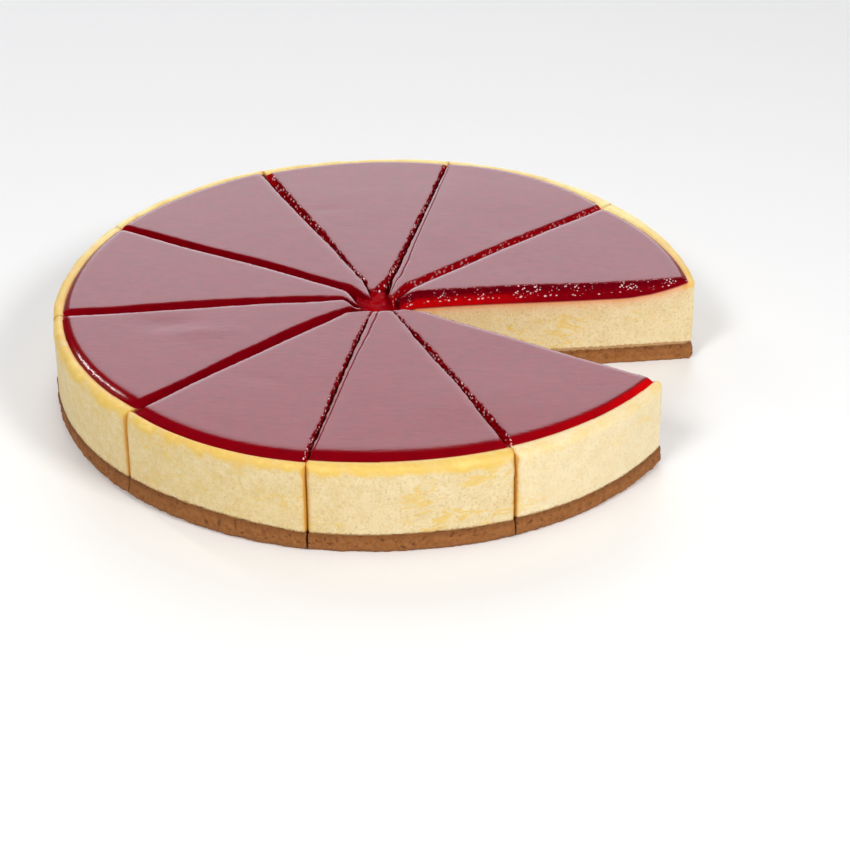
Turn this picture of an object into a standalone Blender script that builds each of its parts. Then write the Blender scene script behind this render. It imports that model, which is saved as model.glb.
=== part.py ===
"""Raspberry cheesecake, cut into ten slices with one taken out. Blender 4.5, metres, +Z up.

A biscuit crumb crust, a baked cream filling whose rim stands round a shallow basin, and a
raspberry jelly glaze that fills the basin. Every slice is three solids, one for each layer.
The origin is under the middle of the cake, on the surface that it rests on.
"""

import math
import random

import bmesh
import bpy
import numpy as np
from mathutils import Matrix, Vector, noise

MM = 0.001

# Driving dimensions: the whole cake.
CAKE_RADIUS = 120.0 * MM
CRUST_HEIGHT = 6.5 * MM
RIM_HEIGHT = 33.4 * MM
GLAZE_HEIGHT = 34.6 * MM
GLAZE_DEPTH = 6.8 * MM
GLAZE_RADIUS = 116.0 * MM
TOUCH_GAP = 0.3 * MM

# The knife: ten cuts from one meeting point, as directions in degrees, going clockwise.
CUTS_MEET = Vector((0.8 * MM, -2.2 * MM))
CUT_DIRECTIONS = (148.8, 113.1, 75.8, 39.1, 4.4, -33.2, -68.0, -102.7, -137.9, -175.7)
# The knife wandered: how far each cut bows clockwise of its straight line, in millimetres,
# at these distances from the meeting point.
BOW_STATIONS = tuple(distance * MM for distance in (0, 12, 25, 40, 55, 70, 85, 100, 115))
CUT_BOWS = (
    (0.0, -0.1, -0.1, 0.4, 0.9, 0.2, -0.4, -0.1, 0.0),
    (0.0, -0.4, -0.8, -0.2, -0.1, -0.3, -0.3, -0.2, 0.0),
    (0.0, 0.9, 1.3, 1.1, 1.0, 0.7, 0.7, 0.3, 0.0),
    (0.0, 0.8, 0.8, 0.1, -0.2, -0.5, -0.4, -0.2, 0.0),
    (0.0, -0.3, -0.6, -0.6, -0.2, 0.2, 0.4, 0.3, 0.0),
    (0.0, 0.5, 0.9, 1.0, 0.8, 1.1, 1.1, 0.7, 0.0),
    (0.0, 0.0, -0.1, -0.5, -0.7, -0.8, -0.5, -0.4, 0.0),
    (0.0, 0.3, 0.6, 0.7, 0.7, 0.6, 0.1, 0.1, 0.0),
    (0.0, 0.8, 1.6, 2.1, 1.7, 1.5, 0.9, 0.4, 0.0),
    (0.0, 0.2, 0.5, 1.4, 1.4, 0.9, 0.2, -0.2, 0.0),
)
MISSING_SLICE = 5
CREAM_KERF = 1.2 * MM
CUT_RAGGEDNESS = 0.25 * MM

# The jelly tore back from the knife: how wide each cut gapes at the top of the glaze.
# The fifth and sixth face the missing slice.
GLAZE_KERF_TOP = tuple(width * MM for width in (4.0, 3.2, 3.2, 3.5, 4.0, 1.8, 2.8, 3.2, 4.8, 4.6))
GLAZE_KERF_LOW = 1.4 * MM

# How far each slice departs from the true circle at its first cut, its middle and its last cut.
GLAZE_DRIFT = {
    1: (0.0, -0.2, 0.2),
    2: (-1.4, -0.7, -0.2),
    3: (0.4, 1.2, -2.4),
    4: (-2.8, -0.9, 0.6),
    6: (0.3, -0.5, -1.0),
    7: (-0.5, -1.0, -0.4),
    8: (1.1, 1.7, 0.6),
    9: (-1.4, -0.1, 0.4),
    10: (0.3, -0.6, -0.4),
}
WALL_DRIFT = {
    1: (0.1, -0.1, -0.3),
    2: (-0.6, -1.0, 0.4),
    3: (0.2, 1.2, 0.4),
    4: (0.3, -0.3, -0.5),
    6: (-0.3, 0.5, 0.5),
    7: (0.8, 0.1, 0.3),
    8: (0.6, 0.2, 0.0),
    9: (0.0, 0.2, 0.0),
    10: (0.2, -0.3, 0.5),
}
CRUST_RISE = {
    1: (0.0, 0.2, 0.0),
    2: (0.1, 0.3, 0.2),
    3: (0.0, 0.2, 0.3),
    4: (0.2, 0.0, 0.1),
    6: (0.2, -0.1, 0.1),
    7: (-0.2, 0.0, -0.2),
    8: (-0.2, 1.2, 0.7),
    9: (0.4, 0.1, 0.2),
    10: (0.1, 0.3, 0.1),
}

# Jelly squeezed up where the tips of the slices meet.
POOL_CENTRE = Vector((-0.8 * MM, -6.4 * MM))
POOL_HALF_LENGTH = 9.2 * MM
POOL_HALF_WIDTH = 7.6 * MM
POOL_HEIGHT = 33.2 * MM

# Mesh detail.
LAYER_STEPS = 120
CRUST_STEPS = 240
POOL_SIDES = 20
OUTLINE_STEPS = 20
CRUMB_RELIEF = 0.55 * MM
CRUMB_SIZE = 3.2 * MM
MERGE_DISTANCE = 0.00001
CUTTER_REACH = 170.0 * MM
CUTTER_MARGIN = 1.0 * MM
SEED = 11

# Derived heights and radii.
BASIN_FLOOR = GLAZE_HEIGHT - GLAZE_DEPTH - TOUCH_GAP
BASIN_FLAT_RADIUS = GLAZE_RADIUS - 26.0 * MM
BASIN_EDGE = RIM_HEIGHT - 0.9 * MM
SHOULDER_WIDTH = 7.0 * MM
SHOULDER_DROP = 1.5 * MM


def clear_scene():
    for obj in list(bpy.data.objects):
        bpy.data.objects.remove(obj, do_unlink=True)


def new_collection(name):
    collection = bpy.data.collections.new(name)
    bpy.context.scene.collection.children.link(collection)
    return collection


def principled(name, colour, roughness):
    material = bpy.data.materials.new(name)
    material.use_nodes = True
    shader = material.node_tree.nodes["Principled BSDF"]
    shader.inputs["Base Color"].default_value = (*colour, 1.0)
    shader.inputs["Roughness"].default_value = roughness
    shader.inputs["Metallic"].default_value = 0.0
    return material


def blend_of_three(values, t):
    """The quadratic through three values at t = 0, 0.5 and 1, in metres."""
    first, middle, last = values
    t = min(max(t, -0.05), 1.05)
    bend = 2.0 * (first + last - 2.0 * middle)
    slope = last - first - bend
    return (first + slope * t + bend * t * t) * MM


def place_in_slice(slice_number, angle):
    """Where an angle about the cake's axis lies between a slice's first and last cut."""
    first, last = (rim_angle(CUT_DIRECTIONS[cut]) for cut in slice_cuts(slice_number))
    turned = (first - angle) % 360.0
    if turned > 200.0:
        turned -= 360.0
    return turned / ((first - last) % 360.0)


def slice_cuts(slice_number):
    """A slice's first and last cut, as places in the tables."""
    return slice_number - 1, slice_number % len(CUT_DIRECTIONS)


def bow(cut, distance):
    """How far a cut lies clockwise of its straight line, at a distance from the meeting point."""
    return float(np.interp(distance, BOW_STATIONS, CUT_BOWS[cut])) * MM


def rim_angle(direction):
    """The angle about the cake's axis at which a cut reaches the rim."""
    aim = Vector((math.cos(math.radians(direction)), math.sin(math.radians(direction))))
    along = -CUTS_MEET.dot(aim)
    reach = along + math.sqrt(along * along + CAKE_RADIUS**2 - CUTS_MEET.length_squared)
    end = CUTS_MEET + aim * reach
    return math.degrees(math.atan2(end.y, end.x))


def turned_mesh(name, profile, steps):
    """Turn a profile of (radius, height) points, listed down its outer side, into a closed mesh."""
    mesh = bpy.data.meshes.new(name)
    outline = bmesh.new()
    points = [outline.verts.new((radius, 0.0, height)) for radius, height in profile]
    for above, below in zip(points, points[1:]):
        outline.edges.new((above, below))
    outline.to_mesh(mesh)
    outline.free()
    turning = bpy.data.objects.new(name, mesh)
    bpy.context.scene.collection.objects.link(turning)
    screw = turning.modifiers.new("Turn", "SCREW")
    screw.steps = steps
    screw.render_steps = steps
    screw.use_merge_vertices = True
    screw.merge_threshold = MERGE_DISTANCE
    evaluated = turning.evaluated_get(bpy.context.evaluated_depsgraph_get())
    turned = bpy.data.meshes.new_from_object(evaluated)
    bpy.data.objects.remove(turning)
    return turned


def basin_height(radius):
    """Height of the filling's basin: flat in the middle, rising to the rim."""
    s = (radius - BASIN_FLAT_RADIUS) / (GLAZE_RADIUS - BASIN_FLAT_RADIUS)
    s = min(max(s, 0.0), 1.0)
    return BASIN_FLOOR + (BASIN_EDGE - BASIN_FLOOR) * s * s


def glaze_top(radius):
    """Height of the glaze: flat, then a rounded shoulder down to the rim."""
    s = (radius - (GLAZE_RADIUS - SHOULDER_WIDTH)) / SHOULDER_WIDTH
    s = min(max(s, 0.0), 1.0)
    return GLAZE_HEIGHT - SHOULDER_DROP * s * s


def basin_radii():
    """Radii from the edge of the basin in to its flat floor."""
    width = GLAZE_RADIUS - BASIN_FLAT_RADIUS
    return [GLAZE_RADIUS - width * share for share in (0.0, 0.12, 0.28, 0.5, 0.75, 1.0)]


def crust_profile():
    side = CAKE_RADIUS - 0.3 * MM
    points = [(0.0, CRUST_HEIGHT), (CAKE_RADIUS - 14.0 * MM, CRUST_HEIGHT)]
    points.append((side - 0.3 * MM, CRUST_HEIGHT))
    points += [(side + 0.1 * MM, CRUST_HEIGHT * share) for share in (0.72, 0.45, 0.2)]
    points += [(side - 0.7 * MM, 0.0), (0.0, 0.0)]
    return points


def filling_profile():
    low = CRUST_HEIGHT + TOUCH_GAP
    wall = CAKE_RADIUS
    points = [(0.0, BASIN_FLOOR)]
    points += [(radius, basin_height(radius)) for radius in reversed(basin_radii())]
    points.append((GLAZE_RADIUS + TOUCH_GAP, BASIN_EDGE))
    points.append((GLAZE_RADIUS + 0.7 * MM, RIM_HEIGHT - 0.2 * MM))
    points.append((GLAZE_RADIUS + 1.7 * MM, RIM_HEIGHT))
    points.append((wall - 1.0 * MM, RIM_HEIGHT - 0.7 * MM))
    points.append((wall - 0.2 * MM, RIM_HEIGHT - 2.0 * MM))
    points.append((wall, RIM_HEIGHT - 4.0 * MM))
    points.append((wall - 0.1 * MM, 18.0 * MM))
    points.append((wall, low))
    points.append((wall - 14.0 * MM, low))
    points.append((0.0, low))
    return points


def glaze_profile():
    inner_shoulder = [GLAZE_RADIUS - SHOULDER_WIDTH * share for share in (1.0, 0.6, 0.3, 0.1)]
    points = [(0.0, GLAZE_HEIGHT)]
    points += [(radius, glaze_top(radius)) for radius in inner_shoulder]
    points.append((GLAZE_RADIUS, glaze_top(GLAZE_RADIUS)))
    points += [(radius, basin_height(radius) + TOUCH_GAP) for radius in basin_radii()]
    points.append((0.0, BASIN_FLOOR + TOUCH_GAP))
    return points


def ease(value, low, high):
    """0 below low, 1 above high, and a smooth rise between them."""
    s = min(max((value - low) / (high - low), 0.0), 1.0)
    return s * s * (3.0 - 2.0 * s)


def drift_glaze_edge(slice_number, co):
    """Move the glaze's edge, and the basin under it, off the true circle."""
    radius = math.hypot(co.x, co.y)
    t = place_in_slice(slice_number, math.degrees(math.atan2(co.y, co.x)))
    drift = blend_of_three(GLAZE_DRIFT[slice_number], t)
    return co.xy * (1.0 + drift * ease(radius, 0.55 * GLAZE_RADIUS, GLAZE_RADIUS) / max(radius, MM))


def drift_wall(slice_number, co):
    """Move the cake's outer wall off the true circle."""
    t = place_in_slice(slice_number, math.degrees(math.atan2(co.y, co.x)))
    return co.xy * (1.0 + blend_of_three(WALL_DRIFT[slice_number], t) / co.xy.length)


def crust_rise(slice_number, co):
    """How much higher than usual the crust meets the filling, near the wall."""
    t = place_in_slice(slice_number, math.degrees(math.atan2(co.y, co.x)))
    near_wall = ease(co.xy.length, 0.6 * CAKE_RADIUS, CAKE_RADIUS - 2.0 * MM)
    return blend_of_three(CRUST_RISE[slice_number], t) * near_wall


def shape_crust(slice_number, co):
    if co.xy.length < MM:
        return co
    height = co.z + crust_rise(slice_number, co) * co.z / CRUST_HEIGHT
    plan = co.xy
    if co.xy.length > CAKE_RADIUS - 3.0 * MM:
        plan = drift_wall(slice_number, co)
        crumb = noise.noise(Vector((plan.x, plan.y, 1.6 * co.z)) / CRUMB_SIZE)
        plan = plan * (1.0 + CRUMB_RELIEF * (crumb - 0.4) / plan.length)
    return Vector((plan.x, plan.y, height))


def shape_filling(slice_number, co):
    radius = co.xy.length
    if radius < MM:
        return co
    on_underside = co.z < CRUST_HEIGHT + 2.0 * TOUCH_GAP
    if radius > CAKE_RADIUS - 1.5 * MM:
        plan = drift_wall(slice_number, co)
    elif on_underside:
        plan = co.xy
    else:
        plan = drift_glaze_edge(slice_number, co)
    rise = crust_rise(slice_number, co) if on_underside else 0.0
    return Vector((plan.x, plan.y, co.z + rise))


def shape_glaze(slice_number, co):
    if co.xy.length < MM:
        return co
    plan = drift_glaze_edge(slice_number, co)
    return Vector((plan.x, plan.y, co.z))


def wedge_outline(slice_number, kerfs, raggedness):
    """Plan of one slice, half a kerf inside each of its two bowed cuts, rough by the raggedness."""
    draws = random.Random(SEED + slice_number)
    first, last = slice_cuts(slice_number)
    aims = []
    for cut in (last, first):
        direction = math.radians(CUT_DIRECTIONS[cut])
        aims.append(Vector((math.cos(direction), math.sin(direction))))
    inwards = [Vector((-aims[0].y, aims[0].x)), Vector((aims[1].y, -aims[1].x))]
    halves = [kerfs[1] / 2, kerfs[0] / 2]
    along = (halves[1] + halves[0] * aims[0].dot(aims[1])) / aims[0].dot(inwards[1])
    tip = CUTS_MEET + inwards[0] * halves[0] + aims[0] * along
    sides = []
    for cut, aim, inward, clockwise in zip((last, first), aims, inwards, (-1, 1)):
        points = [tip]
        for step in range(1, OUTLINE_STEPS + 1):
            point = tip + aim * CUTTER_REACH * step / OUTLINE_STEPS
            sideways = clockwise * bow(cut, (point - CUTS_MEET).dot(aim)) + draws.uniform(0.0, raggedness)
            points.append(point + inward * sideways)
        sides.append(points)
    from_tip, back_to_tip = sides
    return from_tip + back_to_tip[:0:-1]


def wedge_cutter(name, slice_number, low, high, collection, raggedness=0.0):
    """A prism over one slice's plan. Low and high are its ends: a height and the slice's two kerfs."""
    low_outline = wedge_outline(slice_number, low[1], raggedness)
    high_outline = wedge_outline(slice_number, high[1], raggedness)
    solid = bmesh.new()
    base = solid.faces.new([solid.verts.new((p.x, p.y, low[0])) for p in low_outline])
    raised = bmesh.ops.extrude_face_region(solid, geom=[base])["geom"]
    for vert in (item for item in raised if isinstance(item, bmesh.types.BMVert)):
        here = vert.co.xy
        nearest = min(range(len(low_outline)), key=lambda i: (low_outline[i] - here).length)
        vert.co = (*high_outline[nearest], high[0])
    bmesh.ops.recalc_face_normals(solid, faces=solid.faces)
    mesh = bpy.data.meshes.new(name)
    solid.to_mesh(mesh)
    solid.free()
    return cutter_object(name, mesh, collection)


def cutter_object(name, mesh, collection):
    cutter = bpy.data.objects.new(name, mesh)
    cutter.display_type = "WIRE"
    cutter.hide_render = True
    collection.objects.link(cutter)
    return cutter


def elliptic_prism(name, half_length, half_width, low, high):
    """An upright elliptic cylinder about the pool's centre."""
    solid = bmesh.new()
    place = Matrix.Translation((POOL_CENTRE.x, POOL_CENTRE.y, (low + high) / 2))
    stretch = Matrix.Diagonal((half_length, half_width, high - low, 1.0))
    bmesh.ops.create_cone(
        solid,
        cap_ends=True,
        segments=POOL_SIDES,
        radius1=1.0,
        radius2=1.0,
        depth=1.0,
        matrix=place @ stretch,
    )
    mesh = bpy.data.meshes.new(name)
    solid.to_mesh(mesh)
    solid.free()
    return mesh


def add_boolean(obj, cutter, operation):
    cut = obj.modifiers.new(cutter.name, "BOOLEAN")
    cut.object = cutter
    cut.operation = operation
    cut.solver = "EXACT"


def add_layer(name, turned, shape, slice_number, cutters, material, collection):
    """One layer of one slice: the turned disc, made uneven and cut down to the slice."""
    mesh = turned.copy()
    mesh.name = name
    for vert in mesh.vertices:
        vert.co = shape(slice_number, vert.co.copy())
    mesh.materials.clear()
    mesh.materials.append(material)
    layer = bpy.data.objects.new(name, mesh)
    collection.objects.link(layer)
    for cutter, operation in cutters:
        add_boolean(layer, cutter, operation)


def add_pool(missing_wedge, material, collection):
    """The squeezed-up jelly in the middle, rounded over, and open at the missing slice."""
    floor = BASIN_FLOOR + TOUCH_GAP
    mesh = elliptic_prism("centre_jelly", POOL_HALF_LENGTH, POOL_HALF_WIDTH, floor, POOL_HEIGHT)
    mesh.materials.append(material)
    pool = bpy.data.objects.new("centre_jelly", mesh)
    collection.objects.link(pool)
    rounding = pool.modifiers.new("Rounded edge", "BEVEL")
    rounding.width = 0.8 * MM
    rounding.segments = 2
    rounding.limit_method = "ANGLE"
    add_boolean(pool, missing_wedge, "DIFFERENCE")


def build_cheesecake():
    clear_scene()
    cake = new_collection("raspberry_cheesecake")
    cutters = new_collection("cutters")
    crust_material = principled("biscuit_crumb", (0.40, 0.21, 0.08), 0.85)
    filling_material = principled("baked_cream", (0.87, 0.72, 0.43), 0.55)
    glaze_material = principled("raspberry_jelly", (0.45, 0.02, 0.03), 0.12)
    crust = turned_mesh("crust_disc", crust_profile(), CRUST_STEPS)
    filling = turned_mesh("filling_disc", filling_profile(), LAYER_STEPS)
    glaze = turned_mesh("glaze_disc", glaze_profile(), LAYER_STEPS)
    above = GLAZE_HEIGHT + CUTTER_MARGIN
    hollow = elliptic_prism(
        "pool_hollow",
        POOL_HALF_LENGTH + TOUCH_GAP,
        POOL_HALF_WIDTH + TOUCH_GAP,
        CRUST_HEIGHT,
        above,
    )
    hollow = cutter_object("pool_hollow", hollow, cutters)
    for number in range(1, len(CUT_DIRECTIONS) + 1):
        if number == MISSING_SLICE:
            continue
        name = f"slice_{number}"
        cream_kerfs = (CREAM_KERF, CREAM_KERF)
        low_kerfs = (GLAZE_KERF_LOW, GLAZE_KERF_LOW)
        top_kerfs = (GLAZE_KERF_TOP[number - 1], GLAZE_KERF_TOP[number % len(GLAZE_KERF_TOP)])
        in_cream = wedge_cutter(
            f"{name}_wedge", number, (-CUTTER_MARGIN, cream_kerfs), (above, cream_kerfs), cutters
        )
        in_glaze = wedge_cutter(
            f"{name}_glaze_wedge",
            number,
            (BASIN_FLOOR, low_kerfs),
            (above, top_kerfs),
            cutters,
            CUT_RAGGEDNESS,
        )
        whole = [(in_cream, "INTERSECT")]
        tipless = [(in_glaze, "INTERSECT"), (hollow, "DIFFERENCE")]
        add_layer(f"{name}_crust", crust, shape_crust, number, whole, crust_material, cake)
        add_layer(f"{name}_filling", filling, shape_filling, number, whole, filling_material, cake)
        add_layer(f"{name}_glaze", glaze, shape_glaze, number, tipless, glaze_material, cake)
    for disc in (crust, filling, glaze):
        bpy.data.meshes.remove(disc)
    no_kerfs = (0.0, 0.0)
    taken_out = wedge_cutter(
        "missing_wedge", MISSING_SLICE, (BASIN_FLOOR, no_kerfs), (above, no_kerfs), cutters
    )
    add_pool(taken_out, glaze_material, cake)


build_cheesecake()
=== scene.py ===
"""Looks of the raspberry cheesecake: jelly, baked cream and biscuit crumb, slice by slice."""
import itertools
import math
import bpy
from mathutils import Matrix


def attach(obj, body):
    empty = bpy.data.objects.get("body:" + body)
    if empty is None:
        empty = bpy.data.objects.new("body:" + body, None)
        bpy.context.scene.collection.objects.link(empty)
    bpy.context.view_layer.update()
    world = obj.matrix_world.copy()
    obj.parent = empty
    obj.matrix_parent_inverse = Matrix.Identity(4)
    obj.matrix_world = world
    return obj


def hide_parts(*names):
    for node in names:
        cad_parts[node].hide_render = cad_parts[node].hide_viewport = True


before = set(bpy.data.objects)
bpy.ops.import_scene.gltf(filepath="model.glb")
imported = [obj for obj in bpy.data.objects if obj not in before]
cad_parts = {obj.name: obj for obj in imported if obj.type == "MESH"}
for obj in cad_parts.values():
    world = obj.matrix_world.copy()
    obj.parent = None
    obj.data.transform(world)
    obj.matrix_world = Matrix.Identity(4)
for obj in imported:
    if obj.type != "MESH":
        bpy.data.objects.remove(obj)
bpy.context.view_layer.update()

from types import SimpleNamespace

import bpy
import numpy as np
from mathutils import Vector

MM = 0.001
TENTH = 0.1 * MM
BODY = "root"

# The cake, as in the solids.
CAKE_RADIUS = 120.0 * MM
CRUST_HEIGHT = 6.5 * MM
RIM_HEIGHT = 33.4 * MM
GLAZE_HEIGHT = 34.6 * MM
GLAZE_DEPTH = 6.8 * MM
GLAZE_RADIUS = 116.0 * MM
# The glaze's floor is flat in the middle and curves up to its edge over the slope's width.
BASIN_FLOOR = GLAZE_HEIGHT - GLAZE_DEPTH
BASIN_SLOPE = 26.0 * MM
BASIN_EDGE = RIM_HEIGHT - 0.5 * MM
# The glaze's rounded shoulder, along the front and along the back.
SHOULDER_WIDTH = 7.0 * MM
SHOULDER_DROP = 1.5 * MM
BACK_SHOULDER_WIDTH = 3.0 * MM
BACK_SHOULDER_DROP = 1.0 * MM
SHOULDER_CURVE = 2.2
# How much narrower the front shoulder gets on the left, at the far left and on the right.
LEFT_NARROWING = 1.6 * MM
FAR_LEFT_NARROWING = 2.4 * MM
RIGHT_NARROWING = 4.3 * MM

# The cuts, numbered from 1, going clockwise from the back left.
CUTS_MEET = np.array([0.8, -2.2]) * MM
CUT_DIRECTIONS = (148.8, 113.1, 75.8, 39.1, 4.4, -33.2, -68.0, -102.7, -137.9, -175.7)
STATIONS = np.array([0, 12, 25, 40, 55, 70, 85, 100, 115]) * MM
STATION_SHIFTS = np.array([-6, -3, 0, 3, 6]) * MM
# How far each cut bows clockwise of its straight line, at the stations out from where the cuts
# meet, in tenths of a millimetre.
CUT_BOWS = (
    (0, -1, -1, 4, 9, 2, -4, -1, 0),
    (0, -4, -8, -2, -1, -3, -3, -2, 0),
    (0, 9, 13, 11, 10, 7, 7, 3, 0),
    (0, 8, 8, 1, -2, -5, -4, -2, 0),
    (0, -3, -6, -6, -2, 2, 4, 3, 0),
    (0, 5, 9, 10, 8, 11, 11, 7, 0),
    (0, 0, -1, -5, -7, -8, -5, -4, 0),
    (0, 3, 6, 7, 7, 6, 1, 1, 0),
    (0, 8, 16, 21, 17, 15, 9, 4, 0),
    (0, 2, 5, 14, 14, 9, 2, -2, 0),
)
# How wide each cut gapes at the top of the glaze, at the same stations, in tenths.
CUT_GAPES = (
    (50, 44, 40, 38, 45, 39, 43, 39, 34),
    (12, 12, 13, 20, 27, 32, 33, 40, 44),
    (44, 44, 39, 34, 31, 28, 27, 26, 26),
    (44, 44, 36, 38, 32, 35, 31, 32, 33),
    (36, 36, 36, 36, 42, 36, 24, 32, 40),
    (12, 12, 12, 12, 14, 12, 14, 18, 24),
    (2, 2, 5, 27, 20, 19, 24, 29, 30),
    (2, 2, 22, 23, 23, 24, 21, 27, 26),
    (8, 14, 46, 52, 47, 46, 40, 42, 50),
    (8, 14, 41, 38, 46, 50, 46, 44, 44),
)
MISSING_SLICE = 5
SLICES = [number for number in range(1, 11) if number != MISSING_SLICE]
OPEN_CUTS = (5, 6)
# Half the width of the cuts, below the glaze and at its foot; open ones bound the wedge.
CRUST_HALF_KERF = 0.4 * MM
OPEN_HALF_KERF = 0.6 * MM
CREAM_HALF_KERF_INSIDE = 0.05 * MM
GLAZE_HALF_KERF_LOW = 0.35 * MM
OPEN_GLAZE_HALF_KERF_LOW = 0.7 * MM
CUT_SWAY = (0.12 * MM, 14.0 * MM)
# The narrowest angle that a slice may get near its tip.
LEAST_OPENING = 0.05
GLAZE_LEAST_OPENING = 0.02

# Departures from the true circle at each slice's first cut, middle and last cut, in tenths.
GLAZE_DRIFT = {
    1: (0, -2, 2), 2: (-14, -7, -2), 3: (4, 12, -24),
    4: (-28, -9, 6), 6: (3, -5, -10), 7: (-5, -10, -4),
    8: (11, 17, 6), 9: (-14, -1, 4), 10: (3, -6, -4),
}
WALL_DRIFT = {
    1: (1, -1, -3), 2: (-6, -10, 4), 3: (2, 12, 4),
    4: (3, -3, -5), 6: (-3, 5, 5), 7: (8, 1, 3),
    8: (6, 2, 0), 9: (0, 2, 0), 10: (2, -3, 5),
}
# How far the top of the crust rises at the same places, in tenths.
CRUST_RISE = {
    1: (0, 2, 0), 2: (1, 3, 2), 3: (0, 2, 3),
    4: (2, 0, 1), 6: (2, -1, 1), 7: (-2, 0, -2),
    8: (-2, 12, 7), 9: (4, 1, 2), 10: (1, 3, 1),
}


# Noise and small mathematics, on arrays. A kind of noise is the pair of its height and size.

HASH_PRIMES = (73856093, 19349663, 83492791)
HASH_FACTOR = 2246822519
LOW_BITS = 0xFFFFFFFF


def hashed(cells, seed):
    """A repeatable value from -1 to 1 for each row of whole numbers."""
    mixed = np.full(len(cells), seed * 7919 + 13, np.uint64)
    for axis, prime in enumerate(HASH_PRIMES):
        mixed ^= (cells[:, axis].astype(np.int64) * prime).astype(np.uint64)
        mixed = (mixed ^ (mixed >> np.uint64(15))) * np.uint64(HASH_FACTOR)
        mixed &= np.uint64(LOW_BITS)
    mixed ^= mixed >> np.uint64(13)
    return mixed.astype(np.float64) / (LOW_BITS / 2.0) - 1.0


def smooth_noise(points, size, seed):
    """Smooth noise from -1 to 1 whose lumps are about size across."""
    scaled = points / size
    cell = np.floor(scaled)
    part = scaled - cell
    part = part * part * part * (part * (part * 6.0 - 15.0) + 10.0)
    total = np.zeros(len(points))
    for corner in itertools.product((0, 1), repeat=3):
        weight = np.prod(np.where(np.array(corner) == 1, part, 1.0 - part), axis=1)
        total += weight * hashed(cell + np.array(corner), seed)
    return total


def relief(kind, points, seed, octaves=1):
    """A kind of noise over points; each further octave is finer and weaker."""
    height, size = kind
    total = np.zeros(len(points))
    for octave in range(octaves):
        total += smooth_noise(points, size / 2.0**octave, seed + octave) / 2.0**octave
    return height * total


def wander(kind, along, seed):
    """A kind of smooth noise along a line."""
    height, length = kind
    flat = np.zeros((along.size, 3))
    flat[:, 0] = along.ravel()
    flat[:, 1] = seed * length * 3.7
    return height * smooth_noise(flat, length, seed).reshape(along.shape)


def ease(value, low, high):
    """0 at low and 1 at high, with soft ends; high may be below low."""
    part = np.clip((value - low) / (high - low), 0.0, 1.0)
    return part * part * (3.0 - 2.0 * part)


def between(value, outer_low, inner_low, inner_high, outer_high):
    """1 between the inner limits, easing to 0 at the outer ones."""
    return ease(value, outer_low, inner_low) * ease(value, outer_high, inner_high)


def fade(away, length):
    """1 at an edge, fading over a length away from it."""
    return np.exp(-np.maximum(away, 0.0) / length)


def worn(away, drop, width):
    """How far a corner is worn down, at a distance away from it."""
    return drop * np.exp(-((away / width) ** 2))


def through_three(values, t):
    """The quadratic through three values in tenths of a millimetre at t = 0, 0.5 and 1."""
    first, middle, last = values
    t = np.clip(t, -0.05, 1.05)
    bend = 2.0 * (first + last - 2.0 * middle)
    return (first + (last - first - bend) * t + bend * t * t) * TENTH


# Where the cuts run. Distances and directions along them start where the cuts meet.

def slice_cuts(number):
    """A slice's first and last cut; the last is the next one, clockwise."""
    return number, number % len(CUT_DIRECTIONS) + 1


def slice_span(number):
    """Directions of a slice's first and last cut, turned so that the last is the smaller."""
    start, end = (math.radians(CUT_DIRECTIONS[cut - 1]) for cut in slice_cuts(number))
    return start, end - math.tau if end > start else end


def at_station(table, cut, distance):
    """A cut's value from a table, smoothed between the stations."""
    values = [np.interp(distance + shift, STATIONS, table[cut - 1]) for shift in STATION_SHIFTS]
    return sum(values) / len(values) * TENTH


def cut_sway(cut, distance):
    """How far a cut lies clockwise of its straight line, at a distance."""
    return at_station(CUT_BOWS, cut, distance) + wander(CUT_SWAY, distance, 40 + cut)


def slice_turns(number, distance, half_a, half_b, least=LEAST_OPENING):
    """Directions of a slice's two faces at each distance."""
    first, last = slice_cuts(number)
    start, end = slice_span(number)
    turn_a = start - np.arcsin(np.clip((cut_sway(first, distance) + half_a) / distance, -0.95, 0.95))
    turn_b = end - np.arcsin(np.clip((cut_sway(last, distance) - half_b) / distance, -0.95, 0.95))
    return turn_a, np.minimum(turn_b, turn_a - least)


def out_from_meeting(distance, angle):
    """The x and y at a distance and direction."""
    return CUTS_MEET[0] + distance * np.cos(angle), CUTS_MEET[1] + distance * np.sin(angle)


def place_in_slice(number, x, y):
    """0 at the slice's first cut and 1 at its last, by direction."""
    start, end = slice_span(number)
    here = np.arctan2(y - CUTS_MEET[1], x - CUTS_MEET[0])
    turned = (start - here + math.pi) % math.tau - math.pi
    return turned / (start - end)


def glaze_radius(number, x, y):
    return GLAZE_RADIUS + through_three(GLAZE_DRIFT[number], place_in_slice(number, x, y))


def wall_radius(number, x, y):
    return CAKE_RADIUS + through_three(WALL_DRIFT[number], place_in_slice(number, x, y))


def reach(number, radius_at, angle):
    """Distance to an uneven circle about the cake's axis."""
    aim = np.stack([np.cos(angle), np.sin(angle)], -1)
    along = aim @ CUTS_MEET
    distance = np.full(angle.shape, CAKE_RADIUS)
    for _ in range(4):
        point = CUTS_MEET + aim * distance[..., None]
        radius = radius_at(number, point[..., 0], point[..., 1])
        distance = -along + np.sqrt(along**2 + radius**2 - CUTS_MEET @ CUTS_MEET)
    return distance


# Heights of the layers.

def basin_height(radius, edge):
    """The glaze's floor: flat in the middle, then rising in a curve to its edge."""
    part = np.clip((radius - (edge - BASIN_SLOPE)) / BASIN_SLOPE, 0, 1)
    return BASIN_FLOOR + (BASIN_EDGE - BASIN_FLOOR) * part * part


def front_share(y):
    """1 along the front half, where the glaze has a broad shoulder, and 0 along the back."""
    return ease(y, -1.0 * MM, -14.0 * MM)


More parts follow.
